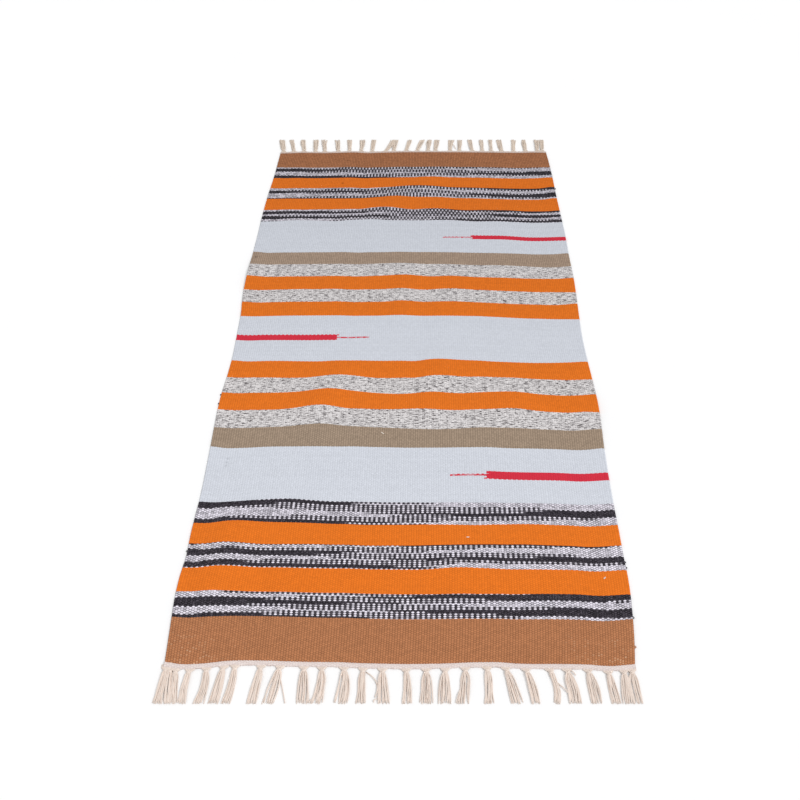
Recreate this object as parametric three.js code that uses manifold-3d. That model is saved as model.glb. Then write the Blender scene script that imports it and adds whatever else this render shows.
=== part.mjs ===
// A striped flat-woven cotton rug lying on a floor, with a knotted warp fringe at each end.
// Millimetres. +X runs across the rug, +Y along it from the near end to the far end, and +Z up.
// The origin is on the floor, under the middle of the rug.

import * as THREE from "three";
import { mergeVertices } from "three/addons/utils/BufferGeometryUtils.js";
import Module from "manifold-3d";

const wasm = await Module();
wasm.setup();

// The striped cloth: its thickness, and its length from the middle to each end, before its unevenness.
const CLOTH_THICKNESS = 3;
const HALF_LENGTH = 700.5;
const CELLS_ACROSS = 36;
const CELLS_ALONG = 30;

// The cream band at each end, and the gap that parts it from the striped cloth.
const BAND_WIDTH = 9;
const BAND_THICKNESS = 2.6;
const GAP = 0.3;

// How far the selvedges lie from the rug's middle line, for each place along it.
const SELVEDGES = [
  { along: -702, left: 341, right: 342.5 },
  { along: -655, left: 344, right: 349 },
  { along: -587, left: 348, right: 354.5 },
  { along: -552, left: 347.5, right: 355.5 },
  { along: -519, left: 344.5, right: 354.5 },
  { along: -476, left: 345.5, right: 354.5 },
  { along: -395, left: 343.5, right: 353.5 },
  { along: -306, left: 345, right: 354.5 },
  { along: -210, left: 347.5, right: 357.5 },
  { along: -160, left: 347.5, right: 357.5 },
  { along: -106, left: 344, right: 355.5 },
  { along: -50, left: 342, right: 352.5 },
  { along: 8, left: 343, right: 351 },
  { along: 70, left: 344.5, right: 352.5 },
  { along: 134, left: 349.5, right: 354.5 },
  { along: 200, left: 349.5, right: 355.5 },
  { along: 272, left: 348.5, right: 354 },
  { along: 346, left: 347, right: 354 },
  { along: 424, left: 346.5, right: 352 },
  { along: 508, left: 344, right: 349.5 },
  { along: 596, left: 339, right: 348 },
  { along: 670, left: 337, right: 345 },
  { along: 702, left: 336, right: 343 },
];

// How far the near and far edges of the cloth wander along +Y, for each place across it.
const END_EDGES = [
  { across: -343, near: 2, far: -8 },
  { across: -317, near: -1.7, far: -7 },
  { across: -287, near: -0.8, far: -5.3 },
  { across: -247, near: 3.6, far: -6.5 },
  { across: -197, near: 3.8, far: -5.3 },
  { across: -147, near: 2.2, far: -3.5 },
  { across: -112, near: 1.6, far: -6 },
  { across: -92, near: 1.5, far: -4.8 },
  { across: -57, near: 0, far: -3.6 },
  { across: -22, near: -1, far: -1.8 },
  { across: 12, near: -1.5, far: -2.2 },
  { across: 62, near: -0.8, far: -2.2 },
  { across: 112, near: 1.1, far: -2.2 },
  { across: 147, near: 1.2, far: -2.5 },
  { across: 172, near: -0.8, far: -2.9 },
  { across: 242, near: -1.5, far: -4.7 },
  { across: 272, near: -2.2, far: -5 },
  { across: 305, near: -4.7, far: -3.7 },
  { across: 349, near: -1, far: -5 },
];

// The low ripples in which the cloth leaves the floor. A ripple's crest runs along +Y, turned by turn degrees
// towards +X, and the last two are loose stretches of selvedge.
const RIPPLES = [
  { across: -282, along: -520, halfWidth: 62, halfLength: 150, turn: 6, height: 5 },
  { across: -142, along: -146, halfWidth: 60, halfLength: 130, turn: 21, height: 6 },
  { across: 65, along: -110, halfWidth: 55, halfLength: 110, turn: 4, height: 3.5 },
  { across: 203, along: -177, halfWidth: 60, halfLength: 90, turn: 0, height: 3 },
  { across: -5, along: 140, halfWidth: 48, halfLength: 120, turn: 8, height: 4 },
  { across: 93, along: 150, halfWidth: 55, halfLength: 110, turn: 8, height: 2.5 },
  { across: -12, along: 503, halfWidth: 56, halfLength: 145, turn: 45, height: 6 },
  { across: -358, along: 200, halfWidth: 75, halfLength: 80, turn: 0, height: 4.5 },
  { across: 358, along: -205, halfWidth: 70, halfLength: 95, turn: 0, height: 3.5 },
];

// A tassel's root, from inside the end band to the knot: how far out of the band each section lies, its width,
// and its lowest and highest point.
const TASSEL_ROOT = [
  { out: -4, width: 14, low: 0.5, high: 2.1 },
  { out: 0, width: 12.5, low: 0.5, high: 2.1 },
  { out: 4, width: 7, low: 0, high: 4 },
  { out: 7.5, width: 7.5, low: 0, high: 5 },
];

// Below the knot the warps lie loose: each section's part of the way to the tip, and its share of the spread.
const TASSEL_BODY = [
  { part: 0.3, share: 0.75, low: 0, high: 4.2 },
  { part: 0.6, share: 0.9, low: 0, high: 3.6 },
  { part: 1, share: 1, low: 0, high: 2.4 },
];

// The tassels are trimmed in a line this far from the rug's middle.
const TRIM_LINE = 761.5;

// The tassels of each end: where they leave the band, how far their tips lean along +X, how far they bulge
// that way, and how wide they end.
const NEAR_TASSELS = [
  { across: -337, lean: -2, bulge: 0, spread: 13 },
  { across: -331, lean: 5, bulge: 0, spread: 12 },
  { across: -323, lean: 7, bulge: 0, spread: 11 },
  { across: -302, lean: -2, bulge: -2, spread: 11 },
  { across: -279, lean: -2, bulge: 3, spread: 13 },
  { across: -254, lean: -6, bulge: 0, spread: 16 },
  { across: -238, lean: -5, bulge: 2, spread: 13 },
  { across: -200, lean: -7, bulge: 0, spread: 16 },
  { across: -172, lean: -11, bulge: 0, spread: 17 },
  { across: -138, lean: 3, bulge: 1, spread: 18 },
  { across: -112, lean: -4, bulge: 3, spread: 17 },
  { across: -80, lean: -1, bulge: 3, spread: 19 },
  { across: -52, lean: 0, bulge: 0, spread: 13 },
  { across: -24, lean: 4, bulge: 0, spread: 17 },
  { across: 10, lean: 2, bulge: 1, spread: 14 },
  { across: 39, lean: 1, bulge: 1, spread: 17 },
  { across: 67, lean: -2, bulge: 0, spread: 19 },
  { across: 96, lean: -4, bulge: 1, spread: 16 },
  { across: 127, lean: 1, bulge: 2, spread: 13 },
  { across: 154, lean: 14, bulge: 1, spread: 15 },
  { across: 183, lean: 11, bulge: 2, spread: 15 },
  { across: 217, lean: 8, bulge: 4, spread: 10 },
  { across: 242, lean: 8, bulge: 2, spread: 18 },
  { across: 273, lean: 6, bulge: 1, spread: 18 },
  { across: 302, lean: 6, bulge: 0, spread: 14 },
  { across: 325, lean: -2, bulge: 0, spread: 15 },
  { across: 336, lean: 1, bulge: 0, spread: 16 },
];
const FAR_TASSELS = [
  { across: -328, lean: -10, bulge: 0, spread: 17 },
  { across: -302, lean: -12, bulge: 0, spread: 12 },
  { across: -276, lean: -9, bulge: 0, spread: 12 },
  { across: -247, lean: -4, bulge: 0, spread: 14 },
  { across: -223, lean: -7, bulge: 0, spread: 12 },
  { across: -189, lean: -6, bulge: 0, spread: 14 },
  { across: -160, lean: -3, bulge: 0, spread: 12 },
  { across: -130, lean: 0, bulge: 0, spread: 13 },
  { across: -102, lean: 1, bulge: 0, spread: 12 },
  { across: -68, lean: 20, bulge: 2, spread: 12 },
  { across: -47, lean: 5, bulge: 0, spread: 13 },
  { across: -15, lean: 10, bulge: 0, spread: 12 },
  { across: 13, lean: 13, bulge: 0, spread: 14 },
  { across: 41, lean: 4, bulge: 0, spread: 12 },
  { across: 60, lean: 5, bulge: 0, spread: 15 },
  { across: 97, lean: 5, bulge: 0, spread: 14 },
  { across: 121, lean: 3, bulge: 0, spread: 11 },
  { across: 155, lean: -6, bulge: -1, spread: 12 },
  { across: 180, lean: -1, bulge: 0, spread: 10 },
  { across: 203, lean: 0, bulge: 0, spread: 10 },
  { across: 230, lean: -6, bulge: 0, spread: 14 },
  { across: 260, lean: 3, bulge: 0, spread: 11 },
  { across: 291, lean: -1, bulge: -1, spread: 11 },
  { across: 321, lean: 3, bulge: 0, spread: 13 },
  { across: 333, lean: 4, bulge: 0, spread: 11 },
];

const WOVEN_COTTON = new THREE.MeshStandardMaterial({ color: 0xd98a52, roughness: 0.95, metalness: 0 });
const FRINGE_COTTON = new THREE.MeshStandardMaterial({ color: 0xe6d6c2, roughness: 0.95, metalness: 0 });

// A smooth line through one column of a table, read against the column that orders its rows.
function smoothColumn(rows, order, column) {
  const places = rows.map((row) => row[order]);
  const values = rows.map((row) => row[column]);
  const line = new THREE.CubicInterpolant(places, values, 1);
  return (place) => line.evaluate(place)[0];
}

const leftReach = smoothColumn(SELVEDGES, "along", "left");
const rightReach = smoothColumn(SELVEDGES, "along", "right");
const nearWander = smoothColumn(END_EDGES, "across", "near");
const farWander = smoothColumn(END_EDGES, "across", "far");

// How high the cloth's underside lies above the floor: each ripple is a squared cosine along and across its
// crest.
function rippleHeight(x, y) {
  let height = 0;
  for (const ripple of RIPPLES) {
    const turn = THREE.MathUtils.degToRad(ripple.turn);
    const offset = new THREE.Vector2(x - ripple.across, y - ripple.along);
    offset.rotateAround(new THREE.Vector2(0, 0), turn);
    const across = Math.min(Math.abs(offset.x) / ripple.halfWidth, 1);
    const along = Math.min(Math.abs(offset.y) / ripple.halfLength, 1);
    height += ripple.height * Math.cos((across * Math.PI) / 2) ** 2 * Math.cos((along * Math.PI) / 2) ** 2;
  }
  return height;
}

// The cloth in plan: s runs from the left selvedge to the right one, and t from the near end to the far one.
function clothPlan(s, t) {
  const along = THREE.MathUtils.lerp(-HALF_LENGTH, HALF_LENGTH, t);
  const x = THREE.MathUtils.lerp(-leftReach(along), rightReach(along), s);
  const y = along + THREE.MathUtils.lerp(nearWander(x), farWander(x), t);
  return { x, y };
}

// A geometry from points and triangles, with the normals that its faces give it.
function facetedGeometry(points, triangles) {
  const geometry = new THREE.BufferGeometry();
  geometry.setAttribute("position", new THREE.Float32BufferAttribute(points, 3));
  geometry.setIndex(triangles);
  geometry.computeVertexNormals();
  return geometry;
}

// A closed sheet: place(s, t) gives a point in plan and the heights of the sheet's two faces over it.
function sheetSolid(place, cellsAcross, cellsAlong) {
  const points = [];
  const triangles = [];
  const layer = (cellsAcross + 1) * (cellsAlong + 1);
  const quad = (a, b, c, d) => triangles.push(a, b, c, a, c, d);
  const top = (i, j) => j * (cellsAcross + 1) + i;
  const under = (i, j) => layer + top(i, j);
  for (const face of ["high", "low"]) {
    for (let j = 0; j <= cellsAlong; j += 1) {
      for (let i = 0; i <= cellsAcross; i += 1) {
        const at = place(i / cellsAcross, j / cellsAlong);
        points.push(at.x, at.y, at[face]);
      }
    }
  }
  for (let j = 0; j < cellsAlong; j += 1) {
    for (let i = 0; i < cellsAcross; i += 1) {
      quad(top(i, j), top(i + 1, j), top(i + 1, j + 1), top(i, j + 1));
      quad(under(i, j), under(i, j + 1), under(i + 1, j + 1), under(i + 1, j));
    }
  }
  for (let i = 0; i < cellsAcross; i += 1) {
    quad(top(i + 1, 0), top(i, 0), under(i, 0), under(i + 1, 0));
    quad(top(i, cellsAlong), top(i + 1, cellsAlong), under(i + 1, cellsAlong), under(i, cellsAlong));
  }
  for (let j = 0; j < cellsAlong; j += 1) {
    quad(top(0, j), top(0, j + 1), under(0, j + 1), under(0, j));
    quad(top(cellsAcross, j + 1), top(cellsAcross, j), under(cellsAcross, j), under(cellsAcross, j + 1));
  }
  return facetedGeometry(points, triangles);
}

// A closed solid through rings of points, each ring going the same way round and convex.
function loftSolid(rings) {
  const points = rings.flat().flatMap((point) => point.toArray());
  const triangles = [];
  const count = rings[0].length;
  for (let r = 0; r < rings.length - 1; r += 1) {
    for (let i = 0; i < count; i += 1) {
      const here = r * count + i;
      const beside = r * count + ((i + 1) % count);
      triangles.push(here, beside, beside + count, here, beside + count, here + count);
    }
  }
  const last = (rings.length - 1) * count;
  for (let i = 1; i < count - 1; i += 1) {
    triangles.push(0, i + 1, i, last, last + i, last + i + 1);
  }
  return facetedGeometry(points, triangles);
}

// One tassel: side is -1 at the near end and +1 at the far one, and bandEdge is where the end band stops.
function tasselSolid(tassel, side, bandEdge) {
  const length = TRIM_LINE - Math.abs(bandEdge);
  const root = TASSEL_ROOT.map((section) => ({ ...section, part: Math.max(section.out / length, 0) }));
  const body = TASSEL_BODY.map((section) => ({
    ...section,
    out: section.part * length,
    width: section.share * tassel.spread,
  }));
  const rings = [...root, ...body].map(({ out, part, width, low, high }) => {
    const x = tassel.across + tassel.lean * part + tassel.bulge * 4 * part * (1 - part);
    const y = bandEdge + side * out;
    const shoulder = THREE.MathUtils.lerp(low, high, 0.55);
    const outline = [
      [-width / 2, low],
      [width / 2, low],
      [width / 2, shoulder],
      [width / 4, high],
      [-width / 4, high],
      [-width / 2, shoulder],
    ];
    return outline.map(([offset, z]) => new THREE.Vector3(x - side * offset, y, z));
  });
  return loftSolid(rings);
}

// A solid of the boolean library from a closed geometry.
function toManifold(geometry) {
  const bare = geometry.clone();
  bare.deleteAttribute("normal");
  const merged = mergeVertices(bare, 1e-4);
  const vertProperties = new Float32Array(merged.getAttribute("position").array);
  const triVerts = new Uint32Array(merged.index.array);
  return new wasm.Manifold(new wasm.Mesh({ numProp: 3, vertProperties, triVerts }));
}

// The end band and its tassels, joined into one comb along the cloth's end.
function fringeComb(side, tassels) {
  const t = side < 0 ? 0 : 1;
  const bandPlace = (s, u) => {
    const edge = clothPlan(s, t);
    const out = side < 0 ? 1 - u : u;
    return { x: edge.x, y: edge.y + side * (GAP + out * BAND_WIDTH), low: 0, high: BAND_THICKNESS };
  };
  let comb = toManifold(sheetSolid(bandPlace, CELLS_ACROSS, 1));
  const wander = side < 0 ? nearWander : farWander;
  for (const tassel of tassels) {
    const bandEdge = side * (HALF_LENGTH + GAP + BAND_WIDTH) + wander(tassel.across);
    comb = comb.add(toManifold(tasselSolid(tassel, side, bandEdge)));
  }
  const joined = comb.getMesh();
  return facetedGeometry(Array.from(joined.vertProperties), Array.from(joined.triVerts));
}

function clothSheet() {
  const clothPlace = (s, t) => {
    const { x, y } = clothPlan(s, t);
    const low = rippleHeight(x, y);
    return { x, y, low, high: low + CLOTH_THICKNESS };
  };
  return sheetSolid(clothPlace, CELLS_ACROSS, CELLS_ALONG);
}

function namedMesh(name, geometry, material) {
  const mesh = new THREE.Mesh(geometry, material);
  mesh.name = name;
  return mesh;
}

const kilim = new THREE.Group();
kilim.add(namedMesh("rug", clothSheet(), WOVEN_COTTON));
kilim.add(namedMesh("fringe_near", fringeComb(-1, NEAR_TASSELS), FRINGE_COTTON));
kilim.add(namedMesh("fringe_far", fringeComb(1, FAR_TASSELS), FRINGE_COTTON));

export default kilim;
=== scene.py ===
"""A striped flat-woven cotton rug with knotted warp fringes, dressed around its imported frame.

Lengths in the tables are in millimetres, and MM turns them into the scene's metres. +X runs across the
rug, +Y along it from the near end to the far end, and +Z up from the floor. An end is -1 for the near
one and +1 for the far one.
"""

import logging
import math
from collections.abc import Sequence
from dataclasses import dataclass, field
from enum import Enum
from itertools import starmap
from typing import NamedTuple, TypeVar

import bpy
import numpy as np
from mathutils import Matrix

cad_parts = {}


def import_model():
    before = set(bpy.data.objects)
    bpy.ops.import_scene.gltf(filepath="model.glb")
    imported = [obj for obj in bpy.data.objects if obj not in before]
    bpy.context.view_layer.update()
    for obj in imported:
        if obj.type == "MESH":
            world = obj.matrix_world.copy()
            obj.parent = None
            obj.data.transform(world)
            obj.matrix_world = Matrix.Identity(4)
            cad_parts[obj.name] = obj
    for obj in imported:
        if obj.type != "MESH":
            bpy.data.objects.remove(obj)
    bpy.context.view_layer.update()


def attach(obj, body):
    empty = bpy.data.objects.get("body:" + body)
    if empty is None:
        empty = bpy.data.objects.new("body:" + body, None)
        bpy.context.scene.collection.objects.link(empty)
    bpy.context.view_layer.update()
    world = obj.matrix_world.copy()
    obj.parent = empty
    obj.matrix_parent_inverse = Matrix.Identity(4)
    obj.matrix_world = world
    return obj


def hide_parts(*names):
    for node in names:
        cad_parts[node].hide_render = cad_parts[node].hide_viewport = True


LOG = logging.getLogger("kilim")
MM = 0.001

# The cloth: warps across it, weft threads along it, and the spacing of both.
WARPS = 172
PICKS = 757
CLOTH_WIDTH = 700 * MM
CLOTH_LENGTH = 1400 * MM
WARP_PITCH = CLOTH_WIDTH / WARPS
PICK_PITCH = CLOTH_LENGTH / PICKS

# The UV map that runs with the weave, from 0 to 1 across the warps and along the picks.
WEAVE_MAP = "weave"

Array = np.ndarray
Colour = tuple[float, float, float]
Ramp = tuple[float, float]
Socket = bpy.types.NodeSocket
Row = TypeVar("Row")


def table(kind: type[Row], *rows: tuple) -> tuple[Row, ...]:
    """A table whose rows are all of one kind."""
    return tuple(starmap(kind, rows))


class Selvedge(NamedTuple):
    """How far the two selvedges lie from the middle line at one place along the rug."""

    along: float
    left: float
    right: float


class EndEdge(NamedTuple):
    """How far the cloth's two ends wander along +Y at one place across it."""

    across: float
    near: float
    far: float


class Ripple(NamedTuple):
    """A low ripple in which the cloth leaves the floor."""

    across: float
    along: float
    half_width: float
    half_length: float
    turn: float
    height: float


class WeftWave(NamedTuple):
    """A place where the weft bows away from the near end, measured from the left near corner."""

    across: float
    along: float
    half_width: float
    half_length: float
    shift: float


class WarpShift(NamedTuple):
    """How far the warps are drawn to the left at one place across the rug, from the left selvedge."""

    across: float
    shift: float


class Tassel(NamedTuple):
    """One tassel: its place on the end band, how far its tip leans along +X, how far it bulges that way on
    its way there, and how wide it ends."""

    across: float
    lean: float
    bulge: float
    spread: float


SELVEDGES = table(
    Selvedge,
    (-702, 341, 342.5), (-655, 344, 349), (-587, 348, 354.5), (-552, 347.5, 355.5),
    (-519, 344.5, 354.5), (-476, 345.5, 354.5), (-395, 343.5, 353.5), (-306, 345, 354.5),
    (-210, 347.5, 357.5), (-160, 347.5, 357.5), (-106, 344, 355.5), (-50, 342, 352.5), (8, 343, 351),
    (70, 344.5, 352.5), (134, 349.5, 354.5), (200, 349.5, 355.5), (272, 348.5, 354), (346, 347, 354),
    (424, 346.5, 352), (508, 344, 349.5), (596, 339, 348), (670, 337, 345), (702, 336, 343),
)

END_EDGES = table(
    EndEdge,
    (-343, 2, -8), (-317, -1.7, -7), (-287, -0.8, -5.3), (-247, 3.6, -6.5), (-197, 3.8, -5.3),
    (-147, 2.2, -3.5), (-112, 1.6, -6), (-92, 1.5, -4.8), (-57, 0, -3.6), (-22, -1, -1.8),
    (12, -1.5, -2.2), (62, -0.8, -2.2), (112, 1.1, -2.2), (147, 1.2, -2.5), (172, -0.8, -2.9),
    (242, -1.5, -4.7), (272, -2.2, -5), (305, -4.7, -3.7), (349, -1, -5),
)

RIPPLES = table(
    Ripple,
    (-282, -520, 62, 150, 6, 5), (-142, -146, 60, 130, 21, 6), (65, -110, 55, 110, 4, 3.5),
    (203, -177, 60, 90, 0, 3), (-5, 140, 48, 120, 8, 4), (93, 150, 55, 110, 8, 2.5),
    (-12, 503, 56, 145, 45, 6), (-358, 200, 75, 80, 0, 4.5), (358, -205, 70, 95, 0, 3.5),
)

WEFT_WAVES = table(
    WeftWave,
    (50, 160, 28, 90, 5), (185, 515, 30, 25, 6), (230, 560, 30, 40, 3), (130, 591, 40, 30, -4),
    (660, 720, 110, 260, -9), (370, 520, 25, 25, 3), (390, 620, 30, 30, 3), (275, 1160, 35, 35, 7),
    (400, 1215, 32, 60, 5), (640, 1165, 70, 40, -7), (690, 1240, 15, 40, 5), (440, 530, 25, 25, -4),
    (550, 520, 30, 25, 3), (300, 580, 35, 25, -4), (360, 856, 20, 15, -4), (470, 1149, 30, 25, -5),
    (30, 115, 35, 25, 2), (120, 206, 42, 20, -3), (290, 226, 58, 28, -3), (476, 95, 28, 32, -2.5),
    (466, 254, 34, 32, -3.8), (430, 160, 28, 18, 3.2), (66, 248, 25, 15, 3), (147, 290, 34, 20, 4.8),
    (540, 222, 28, 28, 2.4), (600, 122, 58, 35, 1.8), (200, 457, 36, 18, 6.5), (100, 505, 28, 45, -2.3),
    (398, 457, 52, 16, -4.5), (532, 512, 32, 60, 2.8), (338, 545, 30, 15, -4.8),
    (362, 610, 14, 26, -3.4), (190, 620, 40, 25, -2.6), (445, 632, 40, 18, 2), (665, 632, 35, 25, 5),
    (320, 912, 32, 35, 4), (480, 928, 28, 45, -3), (655, 936, 45, 18, -4.5), (93, 1098, 25, 18, 4.4),
    (174, 1098, 20, 18, -3), (240, 1100, 32, 18, 5), (345, 1168, 26, 30, -4), (315, 1238, 30, 15, 3.7),
    (500, 1098, 30, 15, -3), (640, 1100, 40, 14, -3), (435, 1120, 28, 30, 2.5), (580, 1150, 25, 18, 3),
    (545, 1034, 35, 30, 2.5), (700, 1200, 16, 60, 3.5), (4, 1325, 18, 14, 3.5), (4, 1275, 18, 30, 2.5),
    (4, 985, 16, 14, 4.5), (4, 800, 16, 12, 2.5), (4, 634, 16, 14, 2.5), (4, 411, 14, 14, 2),
    (696, 979, 14, 12, 3), (696, 938, 14, 12, 3), (696, 896, 14, 12, 3), (696, 853, 12, 12, -2),
    (696, 807, 14, 12, 4), (696, 765, 14, 12, -2.5), (696, 634, 14, 14, 3), (696, 499, 12, 12, -4),
    (696, 411, 14, 14, 2), (640, 1034, 35, 30, -2), (150, 697, 65, 14, -3.9), (600, 612, 80, 32, 1.6),
    (620, 405, 70, 25, 1.6), (255, 411, 35, 14, 1.6), (618, 1312, 30, 35, -2.6),
    (630, 1193, 60, 18, 1.8), (188, 1193, 25, 16, -2.4),
)

WARP_SHIFTS = table(
    WarpShift,
    (0, 0), (60, -2), (95, -2.4), (155, -0.6), (215, 0), (275, 0), (335, 1.8), (395, 2.4), (455, 1.5),
    (490, 0), (560, -0.8), (620, -1), (700, 0),
)

NEAR_TASSELS = table(
    Tassel,
    (-337, -2, 0, 13), (-331, 5, 0, 12), (-323, 7, 0, 11), (-302, -2, -2, 11), (-279, -2, 3, 13),
    (-254, -6, 0, 16), (-238, -5, 2, 13), (-200, -7, 0, 16), (-172, -11, 0, 17), (-138, 3, 1, 18),
    (-112, -4, 3, 17), (-80, -1, 3, 19), (-52, 0, 0, 13), (-24, 4, 0, 17), (10, 2, 1, 14),
    (39, 1, 1, 17), (67, -2, 0, 19), (96, -4, 1, 16), (127, 1, 2, 13), (154, 14, 1, 15),
    (183, 11, 2, 15), (217, 8, 4, 10), (242, 8, 2, 18), (273, 6, 1, 18), (302, 6, 0, 14),
    (325, -2, 0, 15), (336, 3, 0, 18),
)

FAR_TASSELS = table(
    Tassel,
    (-328, -13, 0, 17), (-302, -13, 0, 12), (-276, -9, 0, 12), (-247, -4, 0, 14), (-223, -7, 0, 12),
    (-189, -6, 0, 14), (-160, -3, 0, 12), (-130, 0, 0, 13), (-102, 1, 0, 12), (-68, 20, 2, 12),
    (-47, 5, 0, 13), (-15, 10, 0, 12), (13, 13, 0, 14), (41, 4, 0, 12), (60, 5, 0, 15), (97, 5, 0, 14),
    (121, 3, 0, 11), (155, -6, -1, 12), (180, -1, 0, 10), (203, 0, 0, 10), (230, -6, 0, 14),
    (260, 3, 0, 11), (291, -1, -1, 11), (321, 3, 0, 13), (333, 4, 0, 11),
)


class Loose(NamedTuple):
    """A strand that strays from the near tassels: its two ends, and how far its middle bows along +X."""

    start_across: float
    start_along: float
    stop_across: float
    stop_along: float
    bow: float


NEAR_LOOSE = table(
    Loose,
    (-170.5, -722, -159, -760.5, 0.5), (-47.5, -713.5, -31, -732, 3), (-31, -732, -33, -752, 2),
    (226, -729, 243, -748, 1), (246, -709, 254.5, -719, 1), (-118, -753, -125, -760.5, -2),
    (-28, -753, -33.5, -759, -3), (89, -738, 81.5, -760, -0.5),
)
FAR_LOOSE = table(
    Loose,
    (-66, 710, -46, 738, 0), (112, 716, 103, 742, 1),
)


class Yarn(Enum):
    """The weft yarns, by the way they are dyed."""

    TAN = "tan"
    # The far tan stripe: the same tan, darkened further by painted shade towards the far end.
    FAR_TAN_WITH_PAINTED_SHADE = "tan of a deeper dye lot"
    ORANGE = "orange"
    TAUPE = "taupe"
    # The later taupe stripe: the same taupe made lighter, to take back part of the painted shade towards
    # the far end.
    LIGHT_TAUPE = "taupe of a lighter dye lot"
    PALE = "pale blue-grey"
    FLECKED = "flecked with dark fibre"
    SPACE_DYED = "dyed in black and white lengths"


class Dye(NamedTuple):
    """How the black lengths of a space-dyed yarn fall in a stripe.

    At the left selvedge the yarn turns black first_turn away from the near end, and again every cycle, and
    stays black for a share of it. Over the whole width odd and even picks part by drift cycles each way,
    and both run ahead by lead cycles. Both happen later on the left and sooner on the right by bend widths.
    Towards the right selvedge the picks count for less by the share stretch, and the black by thin.
    """

    first_turn: float
    cycle: float
    share: float
    drift: float
    lead: float
    bend: float = 0.0
    stretch: float = 0.0
    thin: float = 0.0


class Stripe(NamedTuple):
    """A stripe of one weft yarn, and how its black lengths fall if it is space-dyed."""

    yarn: Yarn
    width: float
    dye: Dye | None = None


# The stripes, from the near end to the far one.
STRIPES = (
    Stripe(Yarn.TAN, 72),
    Stripe(Yarn.SPACE_DYED, 43, Dye(90.2, 25.4, 0.57, 0.55, 0.01, 0.0, 0.0, 0.08)),
    Stripe(Yarn.ORANGE, 44),
    Stripe(Yarn.SPACE_DYED, 46, Dye(181, 22.3, 0.57, 0.5, -0.2, 0.0, 0.34, 0.28)),
    Stripe(Yarn.ORANGE, 41),
    Stripe(Yarn.SPACE_DYED, 44, Dye(276.5, 37.5, 0.43, 0.49, -0.05, 0.03)),
    Stripe(Yarn.PALE, 121),
    Stripe(Yarn.TAUPE, 47),
    Stripe(Yarn.FLECKED, 45),
    Stripe(Yarn.ORANGE, 44),
    Stripe(Yarn.FLECKED, 42),
    Stripe(Yarn.ORANGE, 43),
    Stripe(Yarn.PALE, 133),
    Stripe(Yarn.ORANGE, 45),
    Stripe(Yarn.FLECKED, 41),
    Stripe(Yarn.ORANGE, 44),
    Stripe(Yarn.FLECKED, 42),
    Stripe(Yarn.LIGHT_TAUPE, 43),
    Stripe(Yarn.PALE, 121),
    Stripe(Yarn.SPACE_DYED, 46, Dye(1129, 20.2, 0.56, 0.49, -0.06)),
    Stripe(Yarn.ORANGE, 46),
    Stripe(Yarn.SPACE_DYED, 44, Dye(1216.5, 29.6, 0.38, 0.49, 0.07, 0.0, 0.0, -0.25)),
    Stripe(Yarn.ORANGE, 44),
    Stripe(Yarn.SPACE_DYED, 48, Dye(1309.5, 33, 0.43, 0.5, -0.09)),
    Stripe(Yarn.FAR_TAN_WITH_PAINTED_SHADE, 71),
)


class Side(Enum):
    """A selvedge, by the sign of X."""

    LEFT = -1
    RIGHT = 1


class Inlay(NamedTuple):
    """A red dash laid in with the weft from one selvedge: where it starts along the rug, how wide it is,
    how far it reaches in, and how much further the thin line at its tip goes."""

    side: Side
    along: float
    width: float
    reach: float
    line: float


INLAYS = table(
    Inlay,
    (Side.RIGHT, 339.7, 17, 208, 66), (Side.LEFT, 693, 16, 200, 70), (Side.RIGHT, 1028.3, 14, 210, 67),
)


class Smudge(NamedTuple):
    """A faint grey spot on the cloth, measured from the left near corner."""

    across: float
    along: float
    radius: float
    depth: float


SMUDGES = table(
    Smudge,
    (34, 386, 3.5, 0.16), (33, 378, 3, 0.14), (33, 370, 3.5, 0.13), (9, 962, 4.5, 0.24),
    (176, 1257, 5, 0.20), (71, 1376, 4, 0.16), (100, 1371, 4, 0.13), (181, 1361, 4, 0.13),
)


class SelvedgeLoop(NamedTuple):
    """A small loop of weft that stands out of a selvedge."""

    side: Side
    along: float
    reach: float
    dark: bool


class LintFibre(NamedTuple):
    """A curl of loose fibre on the cloth, measured from the left near corner."""

    across: float
    along: float
    length: float
    turn: float


LOOPS = table(
    SelvedgeLoop,
    (Side.RIGHT, 27, 2.4, False), (Side.RIGHT, 75, 2.2, True), (Side.RIGHT, 163, 1.8, True),
    (Side.RIGHT, 173, 1.8, True), (Side.LEFT, 192, 2.0, True), (Side.LEFT, 519, 1.8, True),
    (Side.LEFT, 542, 2.0, True), (Side.RIGHT, 1236, 2.5, True),
)
LINT = table(
    LintFibre,
    (452, 218, 4, 20), (663, 146, 4, 70), (305, 444, 6, 160),
)


class Station(NamedTuple):
    """A place that the strands of a tassel pass on their way out from the cloth.

    It lies out from the band's edge by a length and a share of the tassel's length. There the strands are
    gathered within a half width, spread by a share of the tassel's, lie at a height to which each layer
    adds its rise, and sway.
    """

    out: float
    share: float
    gathered: float
    spread: float
    height: float
    rise: float
    sway: float


STATIONS = table(
    Station,
    (-4, 0, 6.6, 0, 1.3, 0, 0),
    (1, 0, 6.3, 0, 1.3, 0, 0),
    (4.2, 0, 3.0, 0, 1.7, 0.6, 0),
    (6.4, 0, 2.2, 0, 2.2, 0.5, 0),
    (9.5, 0, 3.0, 0.12, 1.7, 0.8, 0),
    (0, 0.34, 0, 0.78, 1.0, 0.95, 0.5),
    (0, 0.64, 0, 0.92, 0.9, 0.8, 0.7),
    (0, 1.0, 0, 1.0, 0.8, 0.5, 1.0),
)

# --- Shapes ---------------------------------------------------------------------------------------------


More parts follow.
